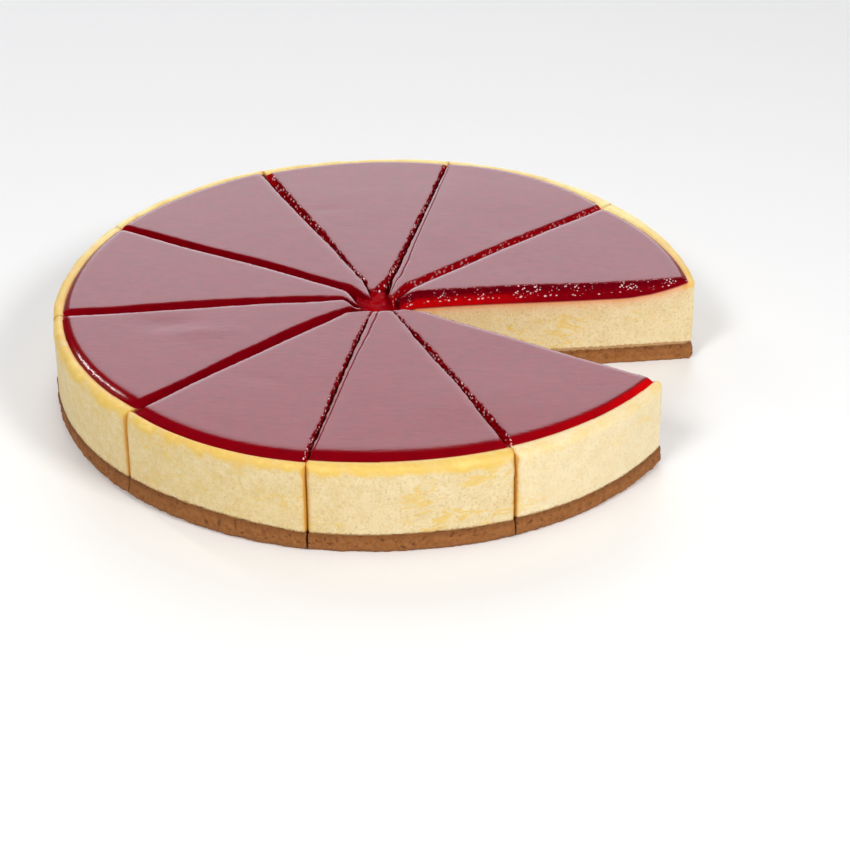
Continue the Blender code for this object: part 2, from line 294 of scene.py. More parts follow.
def shoulder_part(radius, edge, x, y):
    """0 on the flat of the glaze, rising to 1 at its edge; narrower to the left and right."""
    leftward = np.clip(-x / GLAZE_RADIUS, 0, 1)
    rightward = np.clip(x / GLAZE_RADIUS, 0, 1)
    broad = SHOULDER_WIDTH - LEFT_NARROWING * leftward**2 - FAR_LEFT_NARROWING * leftward**8
    broad = broad - RIGHT_NARROWING * rightward
    width = BACK_SHOULDER_WIDTH + (broad - BACK_SHOULDER_WIDTH) * front_share(y)
    return np.clip((radius - (edge - width)) / width, 0, 1)


def crust_top(number, x, y):
    rise = through_three(CRUST_RISE[number], place_in_slice(number, x, y))
    return CRUST_HEIGHT + rise * ease(np.hypot(x, y), 0.6 * CAKE_RADIUS, CAKE_RADIUS - 2.0 * MM)


# Closed blocks: a grid over the six sides of one slice of one layer.

def block_grid(across, along, up, plain_bottom=False, plain_top=False):
    """Grid indices of a closed block's surface, its quads, and the rings of its plain faces.
    Across goes clockwise, along goes outwards and up goes up."""
    index = -np.ones((across, along, up), np.int64)
    shown = np.zeros(index.shape, bool)
    shown[[0, -1], :, :] = True
    shown[:, [0, -1], :] = True
    if not plain_bottom:
        shown[:, :, 0] = True
    if not plain_top:
        shown[:, :, -1] = True
    index[shown] = np.arange(shown.sum())
    gridded = [index[0].T, index[-1], index[:, 0, :], index[:, -1, :].T]
    rings = []
    for side, plain in ((index[:, :, 0].T, plain_bottom), (index[:, :, -1], plain_top)):
        if plain:
            edges = (side[:-1, 0], side[-1, :-1], side[:0:-1, -1], side[0, :0:-1])
            rings.append(np.concatenate(edges))
        else:
            gridded.append(side)
    quads = []
    for side in gridded:
        corners = [side[:-1, :-1], side[1:, :-1], side[1:, 1:], side[:-1, 1:]]
        quads.append(np.stack([corner.ravel() for corner in corners], 1))
    cells = np.argwhere(shown)
    return cells[:, 0], cells[:, 1], cells[:, 2], np.concatenate(quads), rings


def add_object(name, data):
    added = bpy.data.objects.new(name, data)
    bpy.context.scene.collection.objects.link(added)
    return added


def add_piece(name, slot, node, points, quads, rings, material, attributes):
    """A smooth mesh from arrays, which takes the place of one of the solids."""
    mesh = bpy.data.meshes.new(name)
    loops = np.concatenate([quads.ravel(), *rings])
    sizes = np.array([4] * len(quads) + [len(ring) for ring in rings])
    starts = np.concatenate([[0], np.cumsum(sizes)[:-1]])
    mesh.vertices.add(len(points))
    mesh.vertices.foreach_set("co", np.asarray(points, np.float32).ravel())
    mesh.loops.add(len(loops))
    mesh.loops.foreach_set("vertex_index", loops.astype(np.int32))
    mesh.polygons.add(len(sizes))
    mesh.polygons.foreach_set("loop_start", starts.astype(np.int32))
    mesh.update(calc_edges=True)
    mesh.validate()
    for key, values in attributes.items():
        layer = mesh.attributes.new(key, "FLOAT", "POINT")
        layer.data.foreach_set("value", np.asarray(values, np.float32))
    mesh.shade_smooth()
    mesh.materials.append(material)
    piece = add_object(name, mesh)
    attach(piece, BODY)
    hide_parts(node)


# The jelly glaze.

# Columns stand at these insets from each cut face, then evenly over the middle.
EDGE_INSETS = np.array([0.0, 0.12, 0.3, 0.6, 1.0, 1.6, 2.15, 2.4, 2.65, 3.4]) * MM
MIDDLE_COLUMNS = 10
# Where a slice is narrower than this, its edge columns draw together.
ROOM_FOR_INSETS = 2.4 * EDGE_INSETS[-1]
GLAZE_ROWS = 150
GLAZE_LEVELS = np.array([0, 0.12, 0.26, 0.4, 0.52, 0.64, 0.74, 0.83, 0.9, 0.95, 0.98, 1.0])
# The slices whose torn faces show from the front are finer.
FINE_GLAZE = (2, 4, 6, 8)
FINE_GLAZE_ROWS = 250
FINE_GLAZE_LEVELS = np.concatenate([np.linspace(0, 0.94, 18), [0.97, 1.0]])
GLAZE_OVERLAP = 0.05 * MM
THINNEST_GLAZE = 0.25 * MM

# How far out the blunt tips lie, in millimetres; the front slices end at one bulging line.
GLAZE_TIPS = {1: 5.4, 2: 5.0, 3: 6.4, 4: 7.4, 10: 4.6, 9: 3.6}
TIP_LINE = -13.4 * MM
TIP_REACH = 12.0 * MM
TIP_GUESS = 14.0 * MM
TIP_WANDER = (0.3 * MM, 4.0 * MM)
TIP_BULGE = 1.3 * MM
TIP_BULGE_ANGLE = -46.0
TIP_BULGE_SPREAD = 9.0
# How far each slice's last part leans over in x and y, in millimetres.
TIP_LEANS = {
    1: (-0.6, -5.6), 2: (-1.6, -0.3), 3: (0.3, -6.6), 4: (0.2, -5.6), 9: (-3.6, -7.6), 10: (-1.9, -8.4),
}
LEAN_FROM = 15.0 * MM
LEAN_WHOLE = 4.0 * MM

# How rough the torn faces are, by slice and by cut (0 first, 1 last).
TORN_FACES = {(2, 0): 1.0, (2, 1): 1.0, (4, 1): 1.0, (6, 1): 1.0, (8, 0): 1.0, (1, 0): 0.3, (3, 1): 0.6}
PLAIN_ROUGHNESS = 0.12
TEAR_DEPTH = 0.8 * MM
TORN_LUMP = (0.20 * MM, 2.6 * MM)
TORN_BEAD = (0.75 * MM, 1.25 * MM)
RAGGED_EDGE = (0.18 * MM, 3.0 * MM)

# Faces beside which the knife scored the top a second time, leaving a narrow strip.
SCORED_FACES = {(3, 0), (7, 1)}
SCORED_GAPE = 0.3
SCORE_INSET = 2.4 * MM
SCORE_HALF_WIDTH = 0.1 * MM
BESIDE_SCORE = 0.3 * MM
SCORE_DEPTH = 0.5 * MM
SCORE_STATIONS = np.array([8, 30, 60, 90, 115]) * MM
SCORE_SCALES = (1.0, 0.85, 0.55, 0.40, 0.34)
SCORE_WANDER = (0.08, 2.5 * MM)

# Drop and width of the wear at the top's edges: a sharp nick, a soft round, and the tip's.
EDGE_NICK = (0.16 * MM, 0.25 * MM)
EDGE_ROUND = (0.30 * MM, 1.2 * MM)
TIP_ROUND = (0.3 * MM, 0.7 * MM)
# The top's slow swells and fine ripples.
SWELL = (0.10 * MM, 26.0 * MM)
RIPPLE = (0.02 * MM, 6.0 * MM)
# Shallow hollows in the top, and one low bump: place, half sizes and depth, in millimetres.
DENTS = (
    (-78.0, -21.0, 9.0, 4.0, 0.42),
    (-66.0, -27.0, 11.0, 3.0, -0.24),
    (-40.0, -62.0, 5.0, 3.0, 0.10),
    (52.0, 50.0, 7.0, 4.0, 0.10),
    (-20.0, 70.0, 6.0, 3.0, 0.10),
)

# The band along the glaze's edge that doesn't mirror, from a share of the shoulder outwards.
BAND_FROM = 0.23
BAND_FROM_RIGHT = 0.08
BAND_FADE = 0.22
BACK_BAND = 0.35
BAND_DULLING = 0.98
SCORE_DULLING = 0.99
DULL = 0.01
# Directions from the cake's axis, in degrees, of the wet streak and of the edge where light is painted on
# as a brighter red.
STREAK_AZIMUTHS = (-161.0, -157.0, -144.0, -140.0)
PAINTED_GLOW_AZIMUTHS = (-82.0, -34.0, -15.0, 5.0)
BRIGHTEST_PAINTED_GLOW_AZIMUTHS = (-50.0, -38.0)


def glaze_tip(number, angle):
    """Distance to the blunt tip of a slice's glaze."""
    if number in GLAZE_TIPS:
        return np.full(angle.shape, GLAZE_TIPS[number] * MM)
    edge = TIP_LINE + wander(TIP_WANDER, angle * TIP_REACH, 90)
    edge = edge + worn(np.degrees(angle) - TIP_BULGE_ANGLE, TIP_BULGE, TIP_BULGE_SPREAD)
    return (CUTS_MEET[1] - edge) / np.maximum(-np.sin(angle), 0.5)


def across_insets(width, share, inset, side):
    """Fraction across the slice for a column: near an edge by its inset, else by its share."""
    narrow = np.minimum(1.0, width / ROOM_FOR_INSETS)
    edge = EDGE_INSETS[-1] * narrow
    middle = (edge + (width - 2.0 * edge) * share) / width
    near = inset * narrow / width
    return np.where(side == 0, middle, np.where(side < 0, near, 1.0 - near))


def aim_columns(number, share, inset, side):
    """Directions of each column at the tip and at the rim, and how far out its tip lies."""
    start, end = slice_span(number)
    opening = start - end
    tip = TIP_GUESS
    for _ in range(4):
        at_tip = start - opening * across_insets(opening * tip, share, inset, side)
        tip = glaze_tip(number, at_tip)
    at_rim = start - opening * across_insets(opening * GLAZE_RADIUS, share, inset, side)
    return at_tip, at_rim, tip


def score_scale(number, side, distance):
    """How far the columns near a scored face draw in to it, going outwards; 1 beside other faces."""
    scale = np.ones(distance.shape)
    for slot, here in enumerate((side < 0, side > 0)):
        if (number, slot) in SCORED_FACES:
            drawn = np.interp(distance, SCORE_STATIONS, SCORE_SCALES)
            drawn = drawn * (1.0 + wander(SCORE_WANDER, distance, 97))
            scale = np.where(here, np.minimum(drawn, 1.0), scale)
    return scale


def glaze_columns():
    """Share, inset and side (-1 first cut, 0 middle, 1 last cut) of each column."""
    share = np.linspace(0, 1, MIDDLE_COLUMNS + 2)[1:-1]
    edge, middle = np.zeros(len(EDGE_INSETS)), np.zeros(MIDDLE_COLUMNS)
    shares = np.concatenate([edge, share, edge])
    insets = np.concatenate([EDGE_INSETS, middle, EDGE_INSETS[::-1]])
    sides = np.concatenate([edge - 1, middle, edge + 1])
    return shares, insets, sides


def torn_relief(points, cut, up):
    """How far the torn jelly face stands out: lumps and beads, smooth near its foot."""
    beads = 0.35 * TORN_BEAD[0] - np.abs(relief(TORN_BEAD, points, 80 + cut))
    return (relief(TORN_LUMP, points, 60 + cut, 2) + beads) * ease(up, 0.25, 0.55)


def face_half_gape(cut, number, slot, distance, up):
    """Half the cut's V-shaped width at one face of a slice; a scored face stands closer."""
    top = at_station(CUT_GAPES, cut, distance) / 2
    if (number, slot) in SCORED_FACES:
        top = SCORED_GAPE * top
    lowest = OPEN_GLAZE_HALF_KERF_LOW if cut in OPEN_CUTS else GLAZE_HALF_KERF_LOW
    low = np.minimum(lowest, top + 0.1 * MM)
    return low + (top - low) * up**1.3


def glaze_halves(number, side, inset, distance, aimed, up):
    """Half the widths of the cuts beside a slice, rough where the jelly tore, and how rough."""
    probe = np.stack([*out_from_meeting(distance, aimed), up * GLAZE_DEPTH], 1)
    near_edge = fade(inset, TEAR_DEPTH) * (side != 0)
    halves = []
    roughness = np.zeros(len(up))
    for slot, (cut, here) in enumerate(zip(slice_cuts(number), (side < 0, side > 0))):
        rough = TORN_FACES.get((number, slot), PLAIN_ROUGHNESS)
        ragged = relief(RAGGED_EDGE, probe * (1, 1, 0), 20 + cut, 2) * ease(up, 0.5, 1)
        standing = rough * torn_relief(probe, cut, up) - ragged
        halves.append(face_half_gape(cut, number, slot, distance, up) - standing * near_edge)
        roughness = np.where(here, rough, roughness)
    return halves, roughness


def top_dents(x, y):
    """How far the hollows in the set jelly sink below its level."""
    total = np.zeros_like(x)
    for at_x, at_y, half_x, half_y, depth in DENTS:
        away = ((x - at_x * MM) / (half_x * MM)) ** 2 + ((y - at_y * MM) / (half_y * MM)) ** 2
        total += depth * MM * np.exp(-away)
    return total


def glaze_top(at):
    """Height of the glaze's top, with its shoulder, worn edges, swells and dents."""
    drop = BACK_SHOULDER_DROP + (SHOULDER_DROP - BACK_SHOULDER_DROP) * front_share(at.y)
    rounding = worn(at.from_cut, *EDGE_ROUND) * np.clip(0.25 + at.faces_back, 0.15, 1)
    wear = worn(at.from_cut, *EDGE_NICK) + rounding + worn(at.from_tip, *TIP_ROUND)
    flat = np.stack([at.x, at.y, np.zeros_like(at.x)], 1)
    swell = relief(SWELL, flat, 5) + relief(RIPPLE, flat, 6)
    return GLAZE_HEIGHT - drop * at.shoulder**SHOULDER_CURVE - wear + swell - top_dents(at.x, at.y)


def glaze_gloss(at, streak, scored):
    """How strongly the jelly mirrors: its flat top does, its band, scores and cut faces don't."""
    band_from = BAND_FROM + BAND_FROM_RIGHT * ease(at.x, -30 * MM, 10 * MM)
    band = ease(at.shoulder - band_from, 0.0, BAND_FADE)
    band = band * (BACK_BAND + (1.0 - BACK_BAND) * front_share(at.y))
    gloss = np.where(at.on_top, 1.0 - BAND_DULLING * band * (1.0 - streak), DULL)
    return gloss * (1.0 - SCORE_DULLING * scored)


def glaze_painted_glow_and_thin_red(number, at, roughness):
    """How bright a red the jelly is painted: painted light on the lit edge at the right, on the open face
    and in torn cuts, and a brighter red at thin ends.
    """
    # Painted light: the edge on the right is painted a brighter red, most where the key lamp falls.
    edge = 0.55 + 0.40 * ease(at.azimuth, *BRIGHTEST_PAINTED_GLOW_AZIMUTHS)
    glow = edge * between(at.azimuth, *PAINTED_GLOW_AZIMUTHS) * ease(at.shoulder, 0.3, 0.6)
    # Painted light on the lower inside of the open face.
    if number == MISSING_SLICE - 1:
        low_inside = ease(at.distance, 75 * MM, 25 * MM) * ease(at.up, 0.75, 0.35)
        glow += 0.8 * (at.side > 0) * ~at.on_top * low_inside
    # Painted light in the closed torn cuts, where shade falls.
    glow += 0.4 * at.closed * ~at.on_top * ease(roughness, 0.2, 0.6)
    thin_end = ease(at.radius, at.rim - 9 * MM, at.rim - 4 * MM)
    return glow + 0.4 * thin_end * ((number == 2) | (number == 3) & (at.side < 0)) * ~at.on_top


def build_glaze(number, material):
    first, last = slice_cuts(number)
    start, end = slice_span(number)
    fine = number in FINE_GLAZE
    rows = FINE_GLAZE_ROWS if fine else GLAZE_ROWS
    levels = FINE_GLAZE_LEVELS if fine else GLAZE_LEVELS
    shares, insets, sides = glaze_columns()
    i, j, k, quads, rings = block_grid(len(shares), rows, len(levels))
    share, inset, side = shares[i], insets[i], sides[i]
    up = levels[k]
    out = np.linspace(0, 1, rows)[j]
    at_tip, at_rim, tip = aim_columns(number, share, inset, side)
    distance = tip + (reach(number, glaze_radius, at_rim) - tip) * out
    aimed = at_tip + (at_rim - at_tip) * out

    scale = score_scale(number, side, distance)
    to_score = np.where((side != 0) & (scale < 1.0), np.abs(inset - SCORE_INSET), np.inf)
    on_score = to_score < SCORE_HALF_WIDTH
    inset = inset * scale
    halves, roughness = glaze_halves(number, side, inset, distance, aimed, up)
    turn_a, turn_b = slice_turns(number, distance, *halves, GLAZE_LEAST_OPENING)
    width = distance * (turn_a - turn_b)
    fraction = across_insets(width, share, inset, side)
    x, y = out_from_meeting(distance, turn_a + (turn_b - turn_a) * fraction)
    lean = ease(distance, LEAN_FROM, LEAN_WHOLE) * MM
    lean_x, lean_y = TIP_LEANS.get(number, (0.0, 0.0))

    at = SimpleNamespace(side=side, up=up, distance=distance, x=x + lean_x * lean, y=y + lean_y * lean)
    at.radius = np.hypot(at.x, at.y)
    at.rim = glaze_radius(number, at.x, at.y)
    at.shoulder = shoulder_part(at.radius, at.rim, at.x, at.y)
    at.azimuth = np.degrees(np.arctan2(at.y, at.x))
    at.from_cut = np.minimum(fraction, 1.0 - fraction) * width
    at.from_tip = distance - tip
    at.faces_back = np.where(fraction < 0.5, np.cos(start), -np.cos(end))
    at.on_top = up > 0.995
    at.closed = ~((side < 0) & (first in OPEN_CUTS) | (side > 0) & (last in OPEN_CUTS))
    top = glaze_top(at) - SCORE_DEPTH * on_score
    low = np.minimum(basin_height(at.radius, at.rim) - GLAZE_OVERLAP, top - THINNEST_GLAZE)

    streak = between(at.azimuth, *STREAK_AZIMUTHS) * ease(at.shoulder, 0.55, 0.65)
    beside = (to_score < BESIDE_SCORE) * ease(distance, 40 * MM, 90 * MM)
    on_face = (inset < 0.2 * MM) * np.where(at.closed, 0.5, 1.0)
    attributes = {
        "torn": roughness * ease(up, 0.2, 0.5) * on_face,
        "level": up,
        "gloss": glaze_gloss(at, streak, np.maximum(on_score, 0.8 * beside)),
        # A brighter red painted as light, and the brighter red of thin jelly.
        "glow": glaze_painted_glow_and_thin_red(number, at, roughness),
        "wet": streak,
    }
    points = np.stack([at.x, at.y, low + (top - low) * up], 1)
    names = (f"glaze_{number}", "raspberry_jelly", f"slice_{number}_glaze")
    add_piece(*names, points, quads, rings, material, attributes)


# The baked cream.

# Rows of the rim and wall stand at these insets from the wall; the rest are evenly spread.
RIM_INSETS = np.array([
    0, 0.12, 0.3, 0.55, 0.9, 1.3, 1.8, 2.4, 3.0, 3.5, 3.9, 4.3, 5.0, 6.2, 8.5, 12.0, 17.0, 24.0,
]) * MM
WALL_COLUMNS = 130
WALL_LEVELS = 40
INNER_ROWS = 24
OPEN_INNER_ROWS = 100
CREAM_TIP = 3.2 * MM
CREAM_TIP_CORNERS = 1.0 * MM
CREST_SHARE = 0.32
CREST_WANDER = (0.22 * MM, 9.0 * MM)
FAR_CREST_RISE = 0.3 * MM
RIM_ROUND = 3.4 * MM
BACK_RIM_ROUND = 1.2 * MM
# The slice whose rim browned least, and the share of the others' browning that it has.
PALE_SLICE = 6
PALE_BROWNING = 0.62
# The groove where a cut reaches the wall, its two kinds of raggedness, and how it flares.
GROOVE = 0.62 * MM
GROOVE_CRUMBLE = (0.10 * MM, 1.6 * MM)
GROOVE_WANDER = (0.12 * MM, 6.0 * MM)
GROOVE_FLARE = 0.3 * MM
# The cream sinks into the crust by the overlap; its foot rises behind the crumbs at the wall.
FOOT_OVERLAP = 0.4 * MM
FOOT_RISE = 0.9 * MM
# The wall's waves, lumps and pits, and the wear of its corners.
WAVE = (0.16 * MM, 11.0 * MM)
LUMP = (0.07 * MM, 2.6 * MM)
PIT = (0.16 * MM, 1.7 * MM)
CORNER_WEAR = (0.35 * MM, 0.5 * MM)
RELIEF_DEPTH = 1.2 * MM
# How far the colours reach that the jelly and the crust leave on the cream, the painted light on the fringe
# beside the glaze, and the painted shade in the grooves at the wall.
STAIN_LENGTH = 1.8 * MM
SOAK_LENGTH = 2.5 * MM
FRINGE_AND_PAINTED_LIGHT_LENGTH = 0.9 * MM
FOOT_LENGTH = 1.1 * MM
GROOVE_SHADE_LENGTH = 0.5 * MM


def is_open(number):
    """Whether a slice stands beside the open wedge."""
    return any(cut in OPEN_CUTS for cut in slice_cuts(number))


def cream_tip(fraction):
    """Distance to the blunt tip of the cream and the crust."""
    return CREAM_TIP + CREAM_TIP_CORNERS * (2 * fraction - 1) ** 2


def wall_reach(number, fraction):
    """Distance to the wall, at a fraction across the slice."""
    start, end = slice_span(number)
    return reach(number, wall_radius, start + (end - start) * fraction)


def rim_height(number, radius, x, y):
    """Top of the filling: the basin, then the rim's crest, then its round outer shoulder."""
    edge = glaze_radius(number, x, y)
    wall = wall_radius(number, x, y)
    share = np.clip((radius - edge) / np.maximum(wall - edge, 0.5 * MM), 0, 1)
    crest = RIM_HEIGHT + wander(CREST_WANDER, np.arctan2(y, x) * CAKE_RADIUS, 3)
    crest = crest + FAR_CREST_RISE * ease(y, 20 * MM, 80 * MM)
    inner = BASIN_EDGE + (crest - BASIN_EDGE) * ease(share, 0.0, CREST_SHARE)
    bend = np.clip((share - CREST_SHARE) / (1.0 - CREST_SHARE), 0, 1)
    rounding = BACK_RIM_ROUND + (RIM_ROUND - BACK_RIM_ROUND) * front_share(y)
    outer = crest - rounding * (1.0 - np.sqrt(np.maximum(1.0 - bend**2, 0.0)))
    rim = np.where(share < CREST_SHARE, inner, outer)
    return np.where(radius <= edge, basin_height(radius, edge), rim)


def cream_half_kerf(cut, from_wall, height):
    """Half the kerf in the cream: a narrow slot that opens into a shallow groove at the wall."""
    if cut in OPEN_CUTS:
        return OPEN_HALF_KERF
    crumbled = wander(GROOVE_CRUMBLE, height, 50 + cut) + wander(GROOVE_WANDER, height, 70 + cut)
    flare = GROOVE_FLARE * ease(height, RIM_HEIGHT - 3.0 * MM, RIM_HEIGHT)
    return CREAM_HALF_KERF_INSIDE + (GROOVE + crumbled + flare) * ease(from_wall, 1.9 * MM, -0.3 * MM)


def wall_push(points, to_cut, from_wall):
    """How far the wall stands out: waves, soft lumps and pits, and corners worn at the cuts."""
    soft = relief(WAVE, points * (1, 1, 0.6), 7) + relief(LUMP, points, 9, 3)
    pits = PIT[0] * ease(smooth_noise(points, PIT[1], 15), 0.45, 0.8)
    return (soft - pits - worn(to_cut, *CORNER_WEAR)) * fade(from_wall, RELIEF_DEPTH)


def cream_looks(number, at):
    """Values from 0 to 1 that colour the cream, by where each point lies."""
    first, last = slice_cuts(number)
    closed = np.where(at.fraction < 0.5, first not in OPEN_CUTS, last not in OPEN_CUTS)
    past_glaze = at.radius - glaze_radius(number, at.x, at.y)
    on_face = at.to_cut < 0.01 * MM
    under_jelly = np.where(past_glaze < 0.5 * MM, at.top - at.z, 1.0)
    under_glaze = (at.up > 0.99) * (past_glaze < 0)
    pale = number == PALE_SLICE
    browning = PALE_BROWNING if pale else 1.0
    baked = ease(at.z, RIM_HEIGHT - 6.0 * MM, RIM_HEIGHT - 1.0 * MM) * (past_glaze > -2 * MM)
    beside_glaze = (at.up > 0.9) * (past_glaze > -0.3 * MM)
    near_wall = ease(at.radius, CAKE_RADIUS - 9 * MM, CAKE_RADIUS - 3 * MM)
    to_left = ease(at.x, 20 * MM, -75 * MM) * ease(at.y, 20 * MM, -20 * MM)
    above_crust = at.z - crust_top(number, at.x, at.y)
    return {
        "baked": browning * baked,
        "pale": np.full(len(at.up), float(pale)),
        "stain": on_face * fade(under_jelly, STAIN_LENGTH),
        "soaked": np.maximum(under_glaze, closed * on_face * fade(under_jelly, SOAK_LENGTH)),
        # Painted light: how far towards the back the rim is painted a paler, lit gold.
        "far": ease(at.y, 10 * MM, 75 * MM),
        # The salmon fringe where the jelly bled into the cream, with painted light that lightens the shade
        # in the notch beside the glaze.
        "fringe": beside_glaze * fade(past_glaze, FRINGE_AND_PAINTED_LIGHT_LENGTH),
        "toasted": to_left * (at.radius > 0.9 * CAKE_RADIUS),
        "foot": fade(above_crust - FOOT_OVERLAP, FOOT_LENGTH),
        # Painted shade in the grooves where the cuts reach the wall.
        "groove": closed * fade(at.to_cut, GROOVE_SHADE_LENGTH) * near_wall,
    }


def build_filling(number, material):
    inner = np.linspace(0, 1, (OPEN_INNER_ROWS if is_open(number) else INNER_ROWS) + 1)[:-1]
    rows = len(inner) + len(RIM_INSETS)
    i, j, k, quads, rings = block_grid(WALL_COLUMNS, rows, WALL_LEVELS, plain_bottom=True)
    fraction = np.linspace(0, 1, WALL_COLUMNS)[i]
    up = np.linspace(0, 1, WALL_LEVELS)[k]
    wall = wall_reach(number, fraction)
    tip = cream_tip(fraction)
    share = np.append(inner, np.zeros(len(RIM_INSETS)))[j]
    inset = np.append(np.zeros(len(inner)), RIM_INSETS[::-1])[j]
    last_inner = wall - RIM_INSETS[-1]
    distance = np.where(j >= len(inner), wall - inset, tip + (last_inner - tip) * share)
    height = CRUST_HEIGHT + (RIM_HEIGHT - CRUST_HEIGHT) * up
    halves = (cream_half_kerf(cut, wall - distance, height) for cut in slice_cuts(number))
    turn_a, turn_b = slice_turns(number, distance, *halves)
    x, y = out_from_meeting(distance, turn_a + (turn_b - turn_a) * fraction)

    at = SimpleNamespace(up=up, fraction=fraction, x=x, y=y, radius=np.hypot(x, y))
    at.to_cut = np.minimum(fraction, 1 - fraction) * distance * (turn_a - turn_b)
    at.top = rim_height(number, at.radius, x, y)
    over_crust = FOOT_RISE * ease(at.radius, CAKE_RADIUS - 4 * MM, CAKE_RADIUS - 1.5 * MM)
    low = crust_top(number, x, y) - FOOT_OVERLAP + over_crust
    at.z = low + (at.top - low) * up
    points = np.stack([x, y, at.z], 1)
    outward = points[:, :2] / at.radius[:, None]
    points[:, :2] += outward * wall_push(points, at.to_cut, wall - distance)[:, None]
    names = (f"filling_{number}", "baked_cream", f"slice_{number}_filling")
    add_piece(*names, points, quads, rings, material, cream_looks(number, at))


# The biscuit crumb crust.

CRUST_COLUMNS = 170
CRUST_LEVELS = 16
CRUST_ROWS = 50
OPEN_CRUST_ROWS = 170
# The crust's ragged top edge, and the lumps and cracks on its wall and cut faces.
CRUST_EDGE = (0.42 * MM, 1.5 * MM)
CRUST_EDGE_RISE = 0.5 * MM
CRUST_LUMP = (0.30 * MM, 2.3 * MM)
CRUST_CRACK = (0.25 * MM, 1.1 * MM)
CRUST_FACE_LUMP = (0.25 * MM, 1.8 * MM)
# The crust's wall bulges, with its top and bottom edges drawn in, most at the bottom.
CRUST_BULGE = 0.35 * MM
CRUST_UNDERCUT = 0.6 * MM


def crust_push(probe, up):
    """How far the crust's wall stands out: lumps and cracks on a bulging wall."""
    cracks = np.abs(relief(CRUST_CRACK, probe, 35)) - 0.4 * CRUST_CRACK[0]
    bulge = CRUST_BULGE * (1.0 - (2 * up - 1) ** 4) - CRUST_UNDERCUT * ease(1 - up, 0.75, 1.0)
    return relief(CRUST_LUMP, probe, 33, 3) + cracks + bulge


def build_crust(number, material):
    rows = OPEN_CRUST_ROWS if is_open(number) else CRUST_ROWS
    i, j, k, quads, rings = block_grid(CRUST_COLUMNS, rows, CRUST_LEVELS, plain_bottom=True, plain_top=True)
    fraction = np.linspace(0, 1, CRUST_COLUMNS)[i]
    up = np.linspace(0, 1, CRUST_LEVELS)[k]
    tip = cream_tip(fraction)
    distance = tip + (wall_reach(number, fraction) - tip) * np.linspace(0, 1, rows)[j]
    halves = (OPEN_HALF_KERF if cut in OPEN_CUTS else CRUST_HALF_KERF for cut in slice_cuts(number))
    turn_a, turn_b = slice_turns(number, distance, *halves)
    x, y = out_from_meeting(distance, turn_a + (turn_b - turn_a) * fraction)
    probe = np.stack([x, y, CRUST_HEIGHT * up], 1)
    on_wall = j == rows - 1
    on_face = (i == 0) | (i == CRUST_COLUMNS - 1)
    ragged = CRUST_EDGE_RISE + relief(CRUST_EDGE, probe * (1, 1, 0), 31, 3)
    points = np.stack([x, y, (crust_top(number, x, y) + ragged * on_wall) * up], 1)

    outward = probe[:, :2] / np.hypot(x, y)[:, None]
    points[:, :2] += outward * (crust_push(probe, up) * on_wall)[:, None]
    middle = (turn_a + turn_b) / 2
    aside = np.stack([-np.sin(middle), np.cos(middle)], 1) * np.where(i == 0, 1.0, -1.0)[:, None]
    points[:, :2] += aside * (relief(CRUST_FACE_LUMP, probe, 37, 3) * on_face * ~on_wall)[:, None]
    names = (f"crust_{number}", "biscuit_crumb", f"slice_{number}_crust")
    add_piece(*names, points, quads, rings, material, {"level": up})


# The jelly squeezed up where the tips meet.

POOL_CENTRE = np.array([0.2, -4.6]) * MM
POOL_HALF_SIZES = np.array([8.6, 10.4]) * MM
POOL_HEIGHT = GLAZE_HEIGHT - 1.7 * MM
POOL_FOOT = BASIN_FLOOR - 0.1 * MM
POOL_EDGE_DROP = 1.0 * MM
# The puddle sinks on the side of the open wedge.
POOL_OPEN_DROP = 3.0 * MM
POOL_LUMP = (0.35 * MM, 3.4 * MM)
POOL_TURNS = 96
POOL_RINGS = 26
POOL_LEVEL = 0.6
# Where the puddle's painted light, a brighter red, is strongest and how far it spreads.
POOL_PAINTED_GLOW_AT = -1.1 * MM
POOL_PAINTED_GLOW_SPREAD = 4.5 * MM


